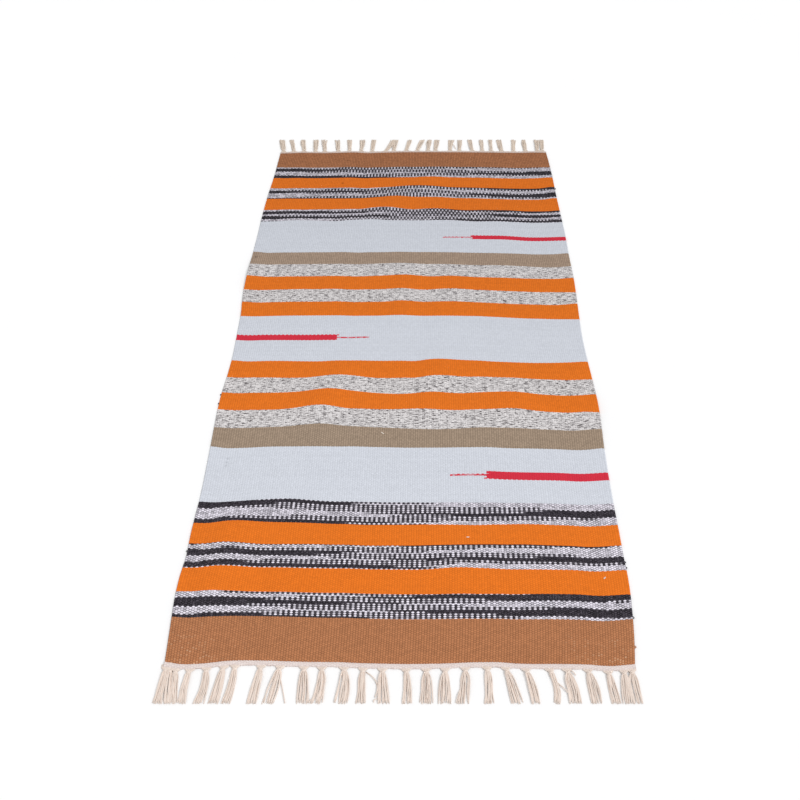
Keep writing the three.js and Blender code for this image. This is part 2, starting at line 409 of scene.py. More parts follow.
def smooth_line(places: Array, values: Array, at: Array) -> Array:
    """Reads a smooth line through a table's values.

    Between two rows it is the cubic whose slope at each row is the mean of the two chords that meet there,
    and beyond the first and last rows it keeps their values.

    Args:
        places: The rows' places, rising.
        values: The line's value at each row; further axes are read side by side.
        at: Where to read it.

    Returns:
        The line's values there.
    """
    steps = np.diff(places)
    shape = (-1,) + (1,) * (values.ndim - 1)
    chords = np.diff(values, axis=0) / steps.reshape(shape)
    slopes = np.concatenate([chords[:1], (chords[1:] + chords[:-1]) / 2, chords[-1:]])
    at = np.clip(at, places[0], places[-1])
    row = np.clip(np.searchsorted(places, at, side="right") - 1, 0, len(places) - 2)
    step = steps[row]
    part = (at - places[row]) / step
    if values.ndim > 1:
        step, part = step.reshape(shape), part.reshape(shape)
    return (
        values[row] * (2 * part**3 - 3 * part**2 + 1)
        + values[row + 1] * (3 * part**2 - 2 * part**3)
        + slopes[row] * step * (part**3 - 2 * part**2 + part)
        + slopes[row + 1] * step * (part**3 - part**2)
    )


def table_line(rows: Sequence[NamedTuple], name: str, at: Array) -> Array:
    """Reads a column of a table of lengths as a smooth line over the table's first column, in metres."""
    places, values = (
        np.array([getattr(row, key) for row in rows], float) * MM for key in (rows[0]._fields[0], name)
    )
    return smooth_line(places, values, at)


def wave(turns: Array | float) -> Array:
    """The cosine of a number of whole turns."""
    return np.cos(2 * np.pi * turns)


def bulge(part: Array | float) -> Array | float:
    """A parabola that is 0 at both ends of a way, and 1 half way along it."""
    return 4 * part * (1 - part)


def round_angles(count: int) -> Array:
    """The angles of points spaced evenly round a ring."""
    return np.linspace(0, 2 * np.pi, count, endpoint=False)


def numbered(points: Array) -> Array:
    """The numbers of a grid's points."""
    return np.arange(points[..., 0].size).reshape(points.shape[:-1])


def wrapped(index: Array, axis: int) -> Array:
    """A grid of point numbers with its first row or column again after its last."""
    return np.concatenate([index, index.take([0], axis)], axis)


def cap(ring: Array) -> Array:
    """The triangles that close rings of point numbers, as fans from each ring's first point."""
    spokes = np.arange(1, ring.shape[-1] - 1)
    fan = np.stack([np.zeros_like(spokes), spokes, spokes + 1], -1)
    return (ring[..., :1, None] + fan).reshape(-1, 3)


@dataclass(frozen=True)
class ClothPlan:
    """The cloth as it lies: its uneven outline, and the ripples in which it leaves the floor."""

    half_length: float = 700.5 * MM
    thickness: float = 3 * MM
    gap: float = 0.3 * MM
    band_width: float = 6.4 * MM
    band_thickness: float = 2.6 * MM
    trim_line: float = 761.5 * MM
    settling_steps: int = 4

    def wander(self, x: Array, end: int) -> Array:
        """How far an end's edge wanders along +Y at x."""
        return table_line(END_EDGES, "near" if end < 0 else "far", x)

    def lay_warps(self, threads: Array) -> Array:
        """Where warps lie across the cloth, from 0 to 1, given the share of them that is passed.

        The shift is a line over the place itself, so it is read a few times until the place settles.
        """
        s = threads
        for _ in range(self.settling_steps):
            s = threads - table_line(WARP_SHIFTS, "shift", s * CLOTH_WIDTH) / CLOTH_WIDTH
        return s

    def place(self, s: Array, t: Array) -> tuple[Array, Array]:
        """A point of the cloth in plan.

        x runs between the two selvedges with s, and y along the cloth with t, moved by a share of each
        end's wander that grows towards that end.

        Args:
            s: From 0 at the left selvedge to 1 at the right one.
            t: From 0 at the near end to 1 at the far one.

        Returns:
            The arrays x and y.
        """
        along = (2 * t - 1) * self.half_length
        left, right = (table_line(SELVEDGES, side, along) for side in ("left", "right"))
        x = -left + (left + right) * s
        return x, along + (1 - t) * self.wander(x, -1) + t * self.wander(x, 1)

    def spot(self, across: float, along: float) -> tuple[Array, Array, Array]:
        """Where a spot of the cloth lies, and the height of its underside, from its distances in metres
        from the left near corner."""
        x, y = self.place(np.array([across / CLOTH_WIDTH]), np.array([along / CLOTH_LENGTH]))
        return x, y, self.lift(x, y)

    def band_edge(self, x: float, end: int) -> float:
        """Where an end band's outer edge lies along the rug at x."""
        edge = end * (self.half_length + self.gap + self.band_width)
        return edge + float(self.wander(np.array([x]), end)[0])

    def lift(self, x: Array, y: Array) -> Array:
        """The height of the cloth's underside: a ripple is a squared cosine along and across its crest."""
        height = np.zeros_like(x)
        for ripple in RIPPLES:
            turn = math.radians(ripple.turn)
            dx, dy = x - ripple.across * MM, y - ripple.along * MM
            across = dx * math.cos(turn) - dy * math.sin(turn)
            along = dx * math.sin(turn) + dy * math.cos(turn)
            rise = ripple.height * MM
            for offset, half in ((across, ripple.half_width), (along, ripple.half_length)):
                rise = rise * np.cos(np.minimum(np.abs(offset) / (half * MM), 1) * np.pi / 2) ** 2
            height += rise
        return height


@dataclass
class Shell:
    """A mesh as arrays: points, faces by their number of corners, and numbers kept at the points."""

    points: Array
    faces: list[Array]
    uv: Array | None = None
    values: dict[str, Array] = field(default_factory=dict)

    def triangles(self) -> int:
        """How many triangles the faces make."""
        return sum(len(part) * (part.shape[1] - 2) for part in self.faces)


def join(shells: Sequence[Shell]) -> Shell:
    """Several shells as one. All of them have the same kinds of faces and values, and no UV map."""
    starts = np.cumsum([0] + [len(shell.points) for shell in shells[:-1]])
    kinds = zip(*(shell.faces for shell in shells), strict=True)
    return Shell(
        points=np.concatenate([shell.points for shell in shells]),
        faces=[np.concatenate([part + start for part, start in zip(kind, starts)]) for kind in kinds],
        values={
            name: np.concatenate([shell.values[name] for shell in shells]) for name in shells[0].values
        },
    )


def put_in_scene(name: str, data: bpy.types.ID) -> bpy.types.Object:
    """A new object in the scene."""
    made = bpy.data.objects.new(name, data)
    bpy.context.scene.collection.objects.link(made)
    return made


def make_piece(name: str, shell: Shell, material: bpy.types.Material) -> bpy.types.Object:
    """Puts a shell into a smooth-shaded mesh object at the origin.

    Args:
        name: The piece's name.
        shell: Its arrays.
        material: Its finish.

    Returns:
        The new object, riding on the root body.
    """
    mesh = bpy.data.meshes.new(name)
    mesh.vertices.add(len(shell.points))
    mesh.vertices.foreach_set("co", shell.points.astype(np.float32).ravel())
    corners = np.concatenate([part.ravel() for part in shell.faces])
    sizes = np.concatenate([np.full(len(part), part.shape[1]) for part in shell.faces])
    mesh.loops.add(len(corners))
    mesh.loops.foreach_set("vertex_index", corners.astype(np.int32))
    mesh.polygons.add(len(sizes))
    mesh.polygons.foreach_set("loop_start", (np.cumsum(sizes) - sizes).astype(np.int32))
    if shell.uv is not None:
        layer = mesh.uv_layers.new(name=WEAVE_MAP)
        layer.data.foreach_set("uv", shell.uv[corners].astype(np.float32).ravel())
    for key, numbers in shell.values.items():
        attribute = mesh.attributes.new(key, "FLOAT", "POINT")
        attribute.data.foreach_set("value", numbers.astype(np.float32))
    mesh.update(calc_edges=True)
    mesh.validate()
    mesh.shade_smooth()
    mesh.materials.append(material)
    piece = put_in_scene(name, mesh)
    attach(piece, "root")
    LOG.info("%s: %d points, %d triangles", name, len(shell.points), shell.triangles())
    return piece


def grid_quads(index: Array) -> Array:
    """The quads of a grid of point numbers, facing the side from which rows turn left into columns."""
    corners = [index[:-1, :-1], index[:-1, 1:], index[1:, 1:], index[1:, :-1]]
    return np.stack(corners, axis=-1).reshape(-1, 4)


# --- Finishes -------------------------------------------------------------------------------------------

# How strongly a matt surface still mirrors, where 0.5 is plain plastic.
MATT_GLOSS = 0.1


def paint(red: float, green: float, blue: float) -> Colour:
    """A colour in linear light from the numbers, 0 to 255, in which paints and yarns are matched."""
    parts = np.array([red, green, blue]) / 255
    linear = np.where(parts <= 0.04045, parts / 12.92, ((parts + 0.055) / 1.055) ** 2.4)
    return tuple(float(part) for part in linear)


class Field:
    """A number that varies over a surface. It is a node's socket that takes plain arithmetic."""

    def __init__(self, tree: bpy.types.NodeTree, socket: Socket) -> None:
        """Wraps a socket of a node tree."""
        self.tree = tree
        self.socket = socket

    def math(self, operation: str, *others: "Field | float", clamp: bool = False) -> "Field":
        """One Math node, with this field first and the others after it."""
        node = self.tree.nodes.new("ShaderNodeMath")
        node.operation = operation
        node.use_clamp = clamp
        for slot, value in zip(node.inputs, (self, *others)):
            plug(self.tree, value, slot)
        return Field(self.tree, node.outputs[0])

    def __add__(self, other: "Field | float") -> "Field":
        """The sum."""
        return self.math("ADD", other)

    def __sub__(self, other: "Field | float") -> "Field":
        """The difference."""
        return self.math("SUBTRACT", other)

    def __mul__(self, other: "Field | float") -> "Field":
        """The product."""
        return self.math("MULTIPLY", other)

    def __gt__(self, other: "Field | float") -> "Field":
        """1 where this field is the greater, and 0 elsewhere."""
        return self.math("GREATER_THAN", other)

    def __lt__(self, other: "Field | float") -> "Field":
        """1 where this field is the less, and 0 elsewhere."""
        return self.math("LESS_THAN", other)

    def __rsub__(self, other: float) -> "Field":
        """A number less this field."""
        return self.math("MULTIPLY_ADD", -1.0, other)

    def scaled(self, factor: "Field | float", offset: "Field | float") -> "Field":
        """This field times a factor, plus an offset."""
        return self.math("MULTIPLY_ADD", factor, offset)

    def held(self) -> "Field":
        """This field kept from 0 to 1."""
        return self.math("ADD", 0.0, clamp=True)

    def ramp(self, slope: float, offset: "Field | float") -> "Field":
        """This field times a slope, plus an offset, kept from 0 to 1."""
        return self.math("MULTIPLY_ADD", slope, offset, clamp=True)


def plug(tree: bpy.types.NodeTree, value: Field | Socket | float | Colour, slot: Socket) -> None:
    """Links a field or another socket into a socket, or sets it to a number or a colour."""
    if isinstance(value, (Field, Socket)):
        tree.links.new(value.socket if isinstance(value, Field) else value, slot)
    elif slot.type == "RGBA":
        slot.default_value = (*value, 1)
    else:
        slot.default_value = value


class Grain(NamedTuple):
    """A soft noise over the weave: its lumps for each warp and each pick, its layer, and its detail."""

    across: float
    along: float
    layer: float = 0.0
    detail: float = 1.0


class Graph:
    """A material's nodes, with the few patterns that the finishes are worked out from."""

    def __init__(self, name: str) -> None:
        """Makes a material with one Principled shader."""
        self.material = bpy.data.materials.new(name)
        self.material.use_nodes = True
        self.tree = self.material.node_tree
        self.shader = self.tree.nodes["Principled BSDF"]

    def fill(self, node: bpy.types.Node, inputs: dict[str | int, Field | Socket | float | Colour]) -> None:
        """Links or sets some of a node's inputs."""
        for key, value in inputs.items():
            plug(self.tree, value, node.inputs[key])

    def node(self, kind: str, inputs: dict | None = None, **settings: object) -> bpy.types.Node:
        """A new node of a kind, with its inputs and its own settings."""
        made = self.tree.nodes.new(kind)
        for key, value in settings.items():
            setattr(made, key, value)
        self.fill(made, inputs or {})
        return made

    def parts(self, vector: Socket) -> tuple[Field, Field, Field]:
        """A vector's three numbers."""
        split = self.node("ShaderNodeSeparateXYZ", {0: vector})
        return tuple(Field(self.tree, out) for out in split.outputs)

    def weave(self) -> tuple[Field, Field, Field]:
        """How many warps lie to the left and how many picks nearer, and the nearer share of the length."""
        across, along, _ = self.parts(self.node("ShaderNodeUVMap", uv_map=WEAVE_MAP).outputs[0])
        return across * WARPS, along * PICKS, along

    def place(self) -> tuple[Field, Field, Field]:
        """The three Object coordinates, in metres."""
        return self.parts(self.node("ShaderNodeTexCoord").outputs["Object"])

    def value(self, name: str) -> Field:
        """A number that the mesh keeps at its points."""
        return Field(self.tree, self.node("ShaderNodeAttribute", attribute_name=name).outputs["Fac"])

    def vector(self, *numbers: Field | float) -> Socket:
        """A vector of up to three numbers."""
        return self.node("ShaderNodeCombineXYZ", dict(enumerate(numbers))).outputs[0]

    def chance(self, *numbers: Field | float) -> Field:
        """An even random number from 0 to 1 for each set of whole numbers."""
        inputs = {"Vector": self.vector(*numbers)}
        made = self.node("ShaderNodeTexWhiteNoise", inputs, noise_dimensions="3D")
        return Field(self.tree, made.outputs["Value"])

    def noise(self, *numbers: Field | float, detail: float = 1.0) -> Field:
        """Soft noise, mostly from 0.25 to 0.75, whose lumps are about 1 across."""
        inputs = {"Vector": self.vector(*numbers), "Scale": 1.0, "Detail": detail}
        return Field(self.tree, self.node("ShaderNodeTexNoise", inputs, noise_dimensions="3D").outputs[0])

    def grain(self, grain: Grain, warps: Field, picks: Field) -> Field:
        """Soft noise over the weave."""
        return self.noise(warps * grain.across, picks * grain.along, grain.layer, detail=grain.detail)

    def mix(
        self, amount: Field, below: Socket | Colour, above: Socket | Colour, numbers: bool = False
    ) -> Socket:
        """The colour below, or the three plain numbers, covered by what is above by an amount."""
        kind, first, out = ("VECTOR", 4, 1) if numbers else ("RGBA", 6, 2)
        made = self.node("ShaderNodeMix", data_type=kind)
        self.fill(made, {0: amount, first: below, first + 1: above})
        return made.outputs[out]

    def tone(self, colour: Socket, amount: Field) -> Socket:
        """A colour made lighter or darker by an amount about 1."""
        inputs = {0: colour, "Scale": amount}
        return self.node("ShaderNodeVectorMath", inputs, operation="SCALE").outputs[0]

    def bump(self, height: Field, rise: float) -> None:
        """Lets a height from 0 to 1 stand that far proud, in metres."""
        made = self.node("ShaderNodeBump", {"Strength": 1.0, "Distance": rise, "Height": height})
        self.fill(self.shader, {"Normal": made.outputs[0]})

    def matt(self, colour: Socket, roughness: float = 1.0) -> bpy.types.Material:
        """Sets the shader up as something matt of that colour, and gives the material."""
        self.fill(
            self.shader, {"Base Color": colour, "Roughness": roughness, "Specular IOR Level": MATT_GLOSS}
        )
        return self.material


@dataclass
class Cell:
    """Where a point lies in a weft-faced plain weave.

    It names the warp and the pick of the one float that shows there, and how far the point is across and
    along it. Both humps are 1 on the float's middle line and 0 at its borders.
    """

    warp: Field
    pick: Field
    across: Field
    along: Field
    hump_across: Field
    hump_along: Field

    def pillow(self) -> Field:
        """The float's height, from 0 to 1, with a broad top."""
        return (self.hump_across * self.hump_along).math("MAXIMUM", 0.0).math("POWER", 0.4)

    def under(self) -> Field:
        """Where the pick that passes under the warp shows at the float's rounded ends."""
        return self.hump_across.scaled(0.45, self.hump_along).ramp(-5.0, 3.9)

    def border(self, picks: Field, teeth: float = 0.42) -> Field:
        """A pick count for the borders between yarns, whose teeth from warp to warp are that high."""
        return self.pick * teeth + picks * (1 - teeth)

    def next_pick(self) -> Field:
        """The nearer of the two picks that pass under the float."""
        return (self.along > 0.5).scaled(2.0, self.pick - 1.0)


def weave_cell(warps: Field, picks: Field, bow: float = 0.1) -> Cell:
    """Finds the float at a point of the cloth.

    Each float covers one warp and the height of two picks, and floats on neighbouring warps are set half
    a float apart. A float is widest at its middle: the lines between warps bow by the product of the
    cosines of half a turn for each warp and for each pick. Each hump is a parabola.

    Args:
        warps: How many warps lie to the left.
        picks: How many picks lie nearer.
        bow: How far the lines between warps bow, in warps.

    Returns:
        The cell.
    """
    sway = (warps * math.pi).math("COSINE") * (picks * math.pi).math("COSINE")
    bowed = (warps - sway * bow).math("MAXIMUM", 0.001)
    warp, across = bowed.math("FLOOR"), bowed.math("FRACT")
    odd = warp.math("MODULO", 2.0)
    pairs = (picks + odd) * 0.5
    pick, along = pairs.math("FLOOR").scaled(2.0, 1.0 - odd), pairs.math("FRACT")
    return Cell(warp, pick, across, along, across * (1.0 - across) * 4.0, along * (1.0 - along) * 4.0)


def first_picks() -> list[float]:
    """Each stripe's first pick, from the stripes' widths."""
    ends = np.cumsum([0] + [stripe.width for stripe in STRIPES[:-1]]) * MM
    return [float(round(end / PICK_PITCH)) for end in ends]


class Look(NamedTuple):
    """A yarn's colour, how much painted shade darkens it between warps (the rib, which also scales the
    painted shade at the ends of floats), and how much darker it gets from float to float and in streaks.
    """

    colour: Colour
    rib: float
    grain: float
    streak: float


LOOKS = {
    Yarn.TAN: Look(paint(188, 126, 87), 0.38, 0.08, 0.03),
    # The far tan: the tan's colour with painted shade.
    Yarn.FAR_TAN_WITH_PAINTED_SHADE: Look(paint(184, 123, 86), 0.38, 0.09, 0.03),
    Yarn.ORANGE: Look(paint(235, 121, 37), 0.16, 0.05, 0.04),
    Yarn.TAUPE: Look(paint(171, 150, 130), 0.32, 0.07, 0.05),
    # Lighter to offset part of the painted shade towards the far end.
    Yarn.LIGHT_TAUPE: Look(paint(178, 155, 136), 0.32, 0.07, 0.05),
    Yarn.PALE: Look(paint(212, 216, 225), 0.06, 0.03, 0.04),
    Yarn.FLECKED: Look(paint(232, 228, 228), 0.12, 0.05, 0.05),
    Yarn.SPACE_DYED: Look(paint(229, 224, 235), 0.40, 0.26, 0.05),
}


class DyeFields(NamedTuple):
    """A Dye as fields over the cloth, with the rate, which is 1 over the cycle, in its cycle's place."""

    first_turn: Field
    rate: Field
    share: Field
    drift: Field
    lead: Field
    bend: Field
    stretch: Field
    thin: Field


@dataclass(frozen=True)
class StripedWeave:
    """The cloth's finish: a weft-faced plain weave in coloured stripes, with space-dyed and flecked yarns
    and three red inlays.

    A sharpness is how fast a pattern comes in past its threshold, and a depth how much it darkens. The
    darkening between warps, at the ends of floats and where the under pick shows, and the even darkening
    towards the far end, are painted shade. What is first or last is a pick count, and the notch at an
    inlay's tip is in millimetres.
    """

    black: Colour = paint(52, 48, 56)
    lint: Colour = paint(104, 98, 106)
    fleck: Colour = paint(100, 94, 96)
    red: Colour = paint(214, 52, 70)
    undyed: Colour = paint(228, 216, 210)
    warp: Colour = paint(244, 214, 180)
    # Painted shade: how much darker the cloth gets, evenly, from the near end to the far one.
    far_end_painted_shade: float = 0.2
    bump_rise: float = 0.35 * MM
    stripe_lead: float = 0.1
    slips: Grain = Grain(0.05, 0.37)
    pick_slip: float = 0.12
    patch_slip: float = 0.14
    dye_sharpness: float = 90.0
    fibres: Grain = Grain(2.5, 1.6, 4.0)
    fibre_ramp: Ramp = (4.0, 0.2)
    dashes: Grain = Grain(0.36, 1.2, 5.0)
    plies: Grain = Grain(1.1, 1.3, 9.0)
    fleck_patches: Grain = Grain(0.08, 0.12, 3.0)
    dash_share: float = 0.6
    fleck_sharpness: float = 12.0
    fleck_threshold: float = 0.42
    inlay_lean: float = 0.006
    inlay_notch: float = 2.0
    inlay_fork: float = 1.6
    inlay_fray: float = 1.4
    inlay_line: float = 1.1
    inlay_breaks: Ramp = (0.7, 0.5)
    first_undyed: float = -0.3
    last_undyed: float = PICKS - 0.4
    undyed_teeth: float = 0.7
    bare_patches: Grain = Grain(0.07, 0.06, 2.0)
    bare_amount: float = 0.6
    bare_sides: Ramp = (0.035, -1.9)
    bare_end: Ramp = (-0.03, 0.9)
    bare_sharpness: float = 4.0
    bare_share: float = 0.2
    dot_length: float = 0.36
    dot_hump: float = 0.6
    streaks: Grain = Grain(0.12, 0.9, detail=2.0)
    fuzz: Grain = Grain(3.0, 3.0)
    fuzz_rise: float = 0.15
    twist: tuple[float, float] = (9.0, 6.0)
    twist_rise: float = 0.06
    # Painted shade at the ends of floats, more on space-dyed yarn, and where the under pick shows.
    painted_end_shade_depth: float = 0.6
    painted_dyed_end_shade_depth: float = 0.7
    painted_under_shade_depth: float = 0.45

    def chain(
        self, graph: Graph, steps: Sequence[Field], values: Sequence[Colour], numbers: bool = False
    ) -> Socket:
        """A colour, or three plain numbers, that change from stripe to stripe.

        Args:
            graph: The material's nodes.
            steps: For each stripe but the first, 1 from its first pick on.
            values: Each stripe's colour or numbers.
            numbers: Whether they are plain numbers.

        Returns:
            The last of a chain of mixes, each of which covers what lies beyond one stripe's first pick.
        """
        now = socket = values[0]
        for step, value in zip(steps, values[1:], strict=True):
            if value != now:
                socket, now = graph.mix(step, socket, value, numbers), value
        return socket

    def numbers(
        self, graph: Graph, steps: Sequence[Field], values: Sequence[tuple[float, ...]]
    ) -> tuple[Field, Field, Field]:
        """Three plain numbers that change from stripe to stripe, as fields."""
        return graph.parts(self.chain(graph, steps, values, numbers=True))

    def dyes(self, graph: Graph, steps: Sequence[Field]) -> DyeFields:
        """The space-dyed stripes' numbers as fields, three to a chain."""
        dye = next(stripe.dye for stripe in STRIPES if stripe.dye)
        rows = []
        for stripe in STRIPES:
            dye = stripe.dye or dye
            rows.append((dye.first_turn, 1 / dye.cycle, *dye[2:], 0.0))
        found = []
        for start in range(0, len(rows[0]), 3):
            values = [row[start : start + 3] for row in rows]
            found += self.numbers(graph, steps, values)
        return DyeFields(*found[: len(DyeFields._fields)])

    def blackness(self, graph: Graph, dye: DyeFields, pick: Field, warps: Field) -> Field:
        """How black the space-dyed yarn of a pick is.

        A thread runs to and fro, and its length of a row is half a cycle more than whole cycles. So at the
        left selvedge every pick has the same phase, which moves on by the pick spacing over the stripe's
        cycle. Away from it, odd and even picks drift apart, later or sooner by a sine of the place across.
        Each pick slips a little too. The yarn is black within half its black share of the middle of each
        black length. The rate and the share fall off in proportion to the place, by stretch and thin.
        """
        way = pick.math("MODULO", 2.0).scaled(2.0, -1.0)
        place = warps * (1 / WARPS)
        rate = dye.rate * (1.0 - place * dye.stretch)
        start = (pick * (PICK_PITCH / MM) - dye.first_turn) * rate
        half = dye.share * (1.0 - place * dye.thin) * 0.5
        place = place - (place * math.tau).math("SINE") * dye.bend
        drift = (dye.drift * way + dye.lead) * place
        patch_slip = graph.grain(self.slips, warps, pick) * self.patch_slip
        slip = graph.chance(pick, 3.0).scaled(self.pick_slip, patch_slip)
        phase = start + drift + (slip - (self.pick_slip + self.patch_slip) / 2) - half
        offset = ((phase + 0.5).math("FRACT") - 0.5).math("ABSOLUTE")
        return (half - offset).ramp(self.dye_sharpness, 0.5)

    def flecks(self, graph: Graph, warps: Field, picks: Field) -> Field:
        """How dark the flecked yarn is: thin dashes where a noise drawn out along the weft is high."""
        dash = graph.grain(self.dashes, warps, picks)
        ply = graph.grain(self.plies, warps, picks)
        patch = graph.grain(self.fleck_patches, warps, picks)
        mixed = dash * self.dash_share + ply * (1 - self.dash_share)
        return (mixed - 0.5).ramp(self.fleck_sharpness, patch - self.fleck_threshold)

    def inlay(self, graph: Graph, cell: Cell, edge: Field, inlay: Inlay) -> Field:
        """How much of a red inlay shows.

        Its tip is a fishtail: its two edges reach further in than its middle, from which a thin line of a
        pick or two goes on, weaker, and broken here and there.
        """
        in_warps, in_picks = MM / WARP_PITCH, MM / PICK_PITCH
        distance = cell.warp + 0.5 if inlay.side is Side.LEFT else WARPS - (cell.warp + 0.5)
        half = inlay.width / 2 * in_picks
        middle = (inlay.along + inlay.width / 2) * in_picks
        leaning = distance.scaled(-self.inlay_lean, self.inlay_lean * inlay.reach * in_warps) + middle
        offset = (edge - leaning).math("ABSOLUTE")
        forked = offset.scaled(self.inlay_fork / half, (inlay.reach - self.inlay_notch) * in_warps)
        frayed = graph.chance(cell.pick, middle).scaled(self.inlay_fray, forked)
        body = (offset < half) * (distance < frayed)
        line = (offset < self.inlay_line) * (distance < (inlay.reach + inlay.line) * in_warps)
        broken = graph.chance(cell.warp, middle).ramp(*self.inlay_breaks)
        return body.math("MAXIMUM", line * broken)

    def grin(self, graph: Graph, cell: Cell, warps: Field) -> Field:
        """Where the undyed warp shows as a dot between floats: in patches at the near end's corners."""
        side = (warps - WARPS / 2).math("ABSOLUTE").ramp(*self.bare_sides)
        noise = graph.grain(self.bare_patches, warps, cell.pick) - 0.5
        patch = noise.ramp(self.bare_sharpness, cell.pick.scaled(*self.bare_end))
        chosen = graph.chance(cell.pick, cell.warp, 7.0) > 1 - self.bare_share
        dot = chosen * (cell.along < self.dot_length) * (cell.hump_across > self.dot_hump)
        return dot * side * patch * self.bare_amount

    def soiling(self, warps: Field, picks: Field) -> Field:
        """How far the smudges darken the cloth: each fades with the square of the distance from it."""
        spots = []
        for spot in SMUDGES:
            across = warps.scaled(WARP_PITCH / MM / spot.radius, -spot.across / spot.radius)
            along = picks.scaled(PICK_PITCH / MM / spot.radius, -spot.along / spot.radius)
            spots.append((1.0 - (across * across + along * along)).held() * spot.depth)
        return sum(spots[1:], spots[0])

    def make(self) -> bpy.types.Material:
        """Builds the cloth's material."""
        graph = Graph("striped_weave")
        warps, picks, along = graph.weave()
        cell = weave_cell(warps, picks)
        edge = cell.border(picks)
        steps = [edge > first - self.stripe_lead for first in first_picks()[1:]]
        looks = [LOOKS[stripe.yarn] for stripe in STRIPES]
        kinds = [
            tuple(float(stripe.yarn is yarn) for yarn in (Yarn.SPACE_DYED, Yarn.FLECKED, Yarn.TAN))
            for stripe in STRIPES
        ]
        colour = self.chain(graph, steps, [look.colour for look in looks])
        rib, grain, streak = self.numbers(graph, steps, [look[1:] for look in looks])
        is_space_dyed, is_flecked, is_tan = self.numbers(graph, steps, kinds)
        under = cell.under() * is_space_dyed
        dye = self.dyes(graph, steps)
        on_top, beneath = (
            self.blackness(graph, dye, pick, warps) for pick in (cell.pick, cell.next_pick())
        )
        blackness = (on_top + (beneath - on_top) * under) * is_space_dyed
        fibre = (graph.grain(self.fibres, warps, picks) - 0.5).ramp(*self.fibre_ramp)
        colour = graph.mix(blackness, colour, graph.mix(fibre, self.black, self.lint))
        colour = graph.mix(self.flecks(graph, warps, picks) * is_flecked, colour, self.fleck)
        for inlay in INLAYS:
            colour = graph.mix(self.inlay(graph, cell, edge, inlay), colour, self.red)
        count = cell.border(picks, self.undyed_teeth)
        undyed = (count < self.first_undyed).math("MAXIMUM", count > self.last_undyed)
        colour = graph.mix(undyed, colour, self.undyed)
        streaks = graph.grain(self.streaks, warps, cell.pick) - 0.5
        twist = (cell.across.scaled(self.twist[0], cell.along * self.twist[1]) + cell.pick).math("SINE")
        # The tone is partly painted shade: between warps, at float ends, where the under pick shows, and
        # evenly towards the far end. The streaks, the random pick and float tones and the smudges are the
        # cloth's own.
        tone = (
            1.0
            - along * self.far_end_painted_shade
            + streaks * streak * 2.0
            + (graph.chance(cell.pick, 1.0) - 0.5) * streak
            + (graph.chance(cell.pick, cell.warp) - 0.5) * grain * 2.0
            - (1.0 - cell.hump_across) * rib
            - (1.0 - cell.hump_along) * rib * (is_space_dyed * self.painted_dyed_end_shade_depth + self.painted_end_shade_depth)
            - under * self.painted_under_shade_depth
            - self.soiling(warps, picks)
        )
        fuzz = graph.grain(self.fuzz, warps, picks)
        graph.bump(cell.pillow() + twist * self.twist_rise + fuzz * self.fuzz_rise, self.bump_rise)
        colour = graph.mix(self.grin(graph, cell, warps) * is_tan, graph.tone(colour, tone), self.warp)
        return graph.matt(colour)


@dataclass(frozen=True)
class UndyedWeave:
    """The end bands' finish: the same weave in undyed cotton, with soft lumps, painted shade in the grooves
    between floats, and a broken painted shadow line along the outer edge.
    """

    name: str = "undyed_weave"
    light: Colour = paint(231, 219, 215)
    dark: Colour = paint(190, 170, 164)
    bump_rise: float = 0.4 * MM
    lumps: Grain = Grain(0.3, 0.9, detail=2.0)
    lump_depth: float = 0.9
    lump_rise: float = 0.8
    # Painted shade in the grooves between floats.
    painted_groove_depth: float = 0.5
    float_rise: float = 0.6
    # The painted shadow line along the band's outer edge.
    painted_shadow_out: float = 4.0
    painted_shadow_sway: float = 0.8
    painted_shadow_ramp: Ramp = (-3.0, 1.1)
    painted_shadow_breaks: float = 0.12
    painted_shadow_break_sharpness: float = 5.0

    def make(self) -> bpy.types.Material:
        """Builds the material. The painted shadow line runs some picks out from the cloth."""
        graph = Graph(self.name)
        warps, picks, along = graph.weave()
        pillow = weave_cell(warps, picks).pillow()
        lumps = graph.grain(self.lumps, warps, picks)
        out = (along - 0.5).math("ABSOLUTE").scaled(PICKS, -0.5 * PICKS)
        # Painted shadow: a broken dark line some picks out from the cloth, along the band's outer edge.
        broken = (graph.noise(warps * self.painted_shadow_breaks, 3.0) - 0.42).ramp(self.painted_shadow_break_sharpness, 0.0)
        off_painted_shadow = (out + (lumps - 0.5) * self.painted_shadow_sway - self.painted_shadow_out).math("ABSOLUTE")
        painted_shadow_line = off_painted_shadow.ramp(*self.painted_shadow_ramp) * broken
        painted_groove_shade = (1.0 - pillow) * self.painted_groove_depth
        # The mix is painted shade in the grooves and the painted shadow line, with the band's own lumpy
        # tone.
        shade = (painted_groove_shade + (lumps - 0.4) * self.lump_depth + painted_shadow_line).held()
        graph.bump(pillow * self.float_rise + lumps * self.lump_rise, self.bump_rise)
        return graph.matt(graph.mix(shade, self.light, self.dark))


@dataclass(frozen=True)
class PliedCotton:
    """The finish of loose yarn: each strand has its own tone, with a faint mottle. The tone that the mesh
    keeps also holds the painted shade of the tassels' gathered necks.

    Mottle and fuzz are given as lumps to a metre.
    """

    name: str = "plied_cotton"
    light: Colour = paint(240, 226, 216)
    dark: Colour = paint(219, 202, 190)
    tone_depth: float = 0.8
    mottle: float = 260.0
    mottle_depth: float = 0.4
    fuzz: float = 1800.0
    bump_rise: float = 0.2 * MM

    def make(self) -> bpy.types.Material:
        """Builds the material; the mesh keeps each strand's tone."""
        graph = Graph(self.name)
        place = graph.place()
        mottle, fuzz = (
            graph.noise(*(part * scale for part in place), detail=2.0) for scale in (self.mottle, self.fuzz)
        )
        tone = graph.value("tone") * self.tone_depth
        shade = (tone + mottle * self.mottle_depth - self.mottle_depth / 2).held()
        graph.bump(fuzz, self.bump_rise)
        return graph.matt(graph.mix(shade, self.light, self.dark))


